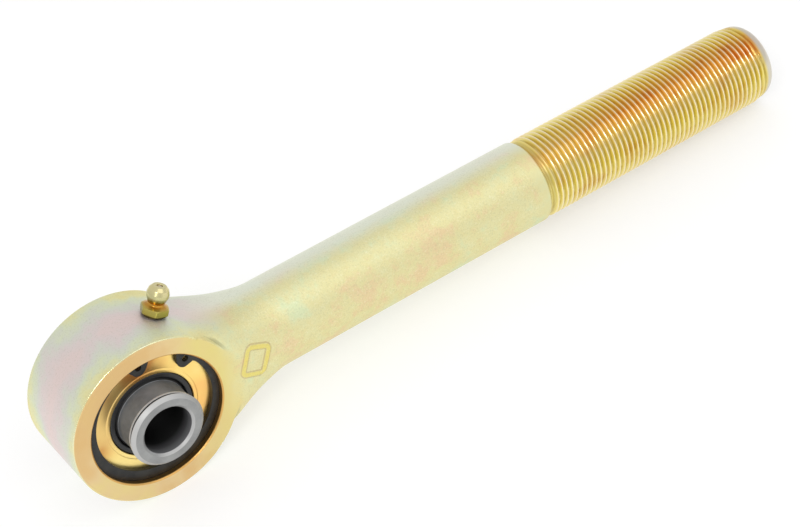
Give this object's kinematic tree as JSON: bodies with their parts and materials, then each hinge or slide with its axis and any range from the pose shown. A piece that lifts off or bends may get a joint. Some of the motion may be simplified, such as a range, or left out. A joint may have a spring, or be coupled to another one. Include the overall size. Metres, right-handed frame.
{
  "type": "spherical rod end",
  "caption": "Greaseable, rebuildable spherical rod end: forged eye with a ball in a polyurethane race, on a long male-threaded shank.",
  "frame": {"origin": "centre of the ball, on the axis of the bolt bore", "axes": "+X along the shank to its threaded end, Y along the bolt bore with the front face on the -Y side, +Z the side with the grease fitting"},
  "size_m": [0.2492, 0.0382, 0.0568],
  "materials": {
    "plated_forging": "yellow zinc over forged and machined steel",
    "phosphate_steel": "grey phosphate, matte",
    "polyurethane": "moulded polyurethane, satin",
    "plated_washer": "bright yellow zinc",
    "black_spring_steel": "black oiled spring steel",
    "plated_fitting": "yellow zinc, turned",
    "bright_steel": "bright steel"
  },
  "bodies": {
    "housing": {"forged_housing": "plated_forging", "front_washer": "plated_washer", "rear_washer": "plated_washer", "front_snap_ring": "black_spring_steel", "rear_snap_ring": "black_spring_steel", "grease_fitting": "plated_fitting"},
    "race": {"front_race": "polyurethane", "rear_race": "polyurethane"},
    "ball": {"center_ball": "phosphate_steel"},
    "check": {"check_ball": "bright_steel", "check_spring": "bright_steel"}
  },
  "joints": [
    {"name": "ball_spin", "type": "hinge", "parent": "housing", "child": "race", "pos_m": [0, 0, 0], "axis": [0, 1, 0], "continuous": true},
    {"name": "ball_tilt", "type": "hinge", "parent": "race", "child": "ball", "pos_m": [0, 0, 0], "axis": [0, 0, 1], "range_deg": [-12, 12], "deforming": ["front_race", "rear_race"]},
    {"name": "check_slide", "type": "slide", "parent": "housing", "child": "check", "axis": [-0.4384, 0, -0.8988], "range_m": [0, 0.0008], "stiffness_N_per_m": 900, "springref_m": -0.001, "deforming": ["check_spring"]}
  ]
}
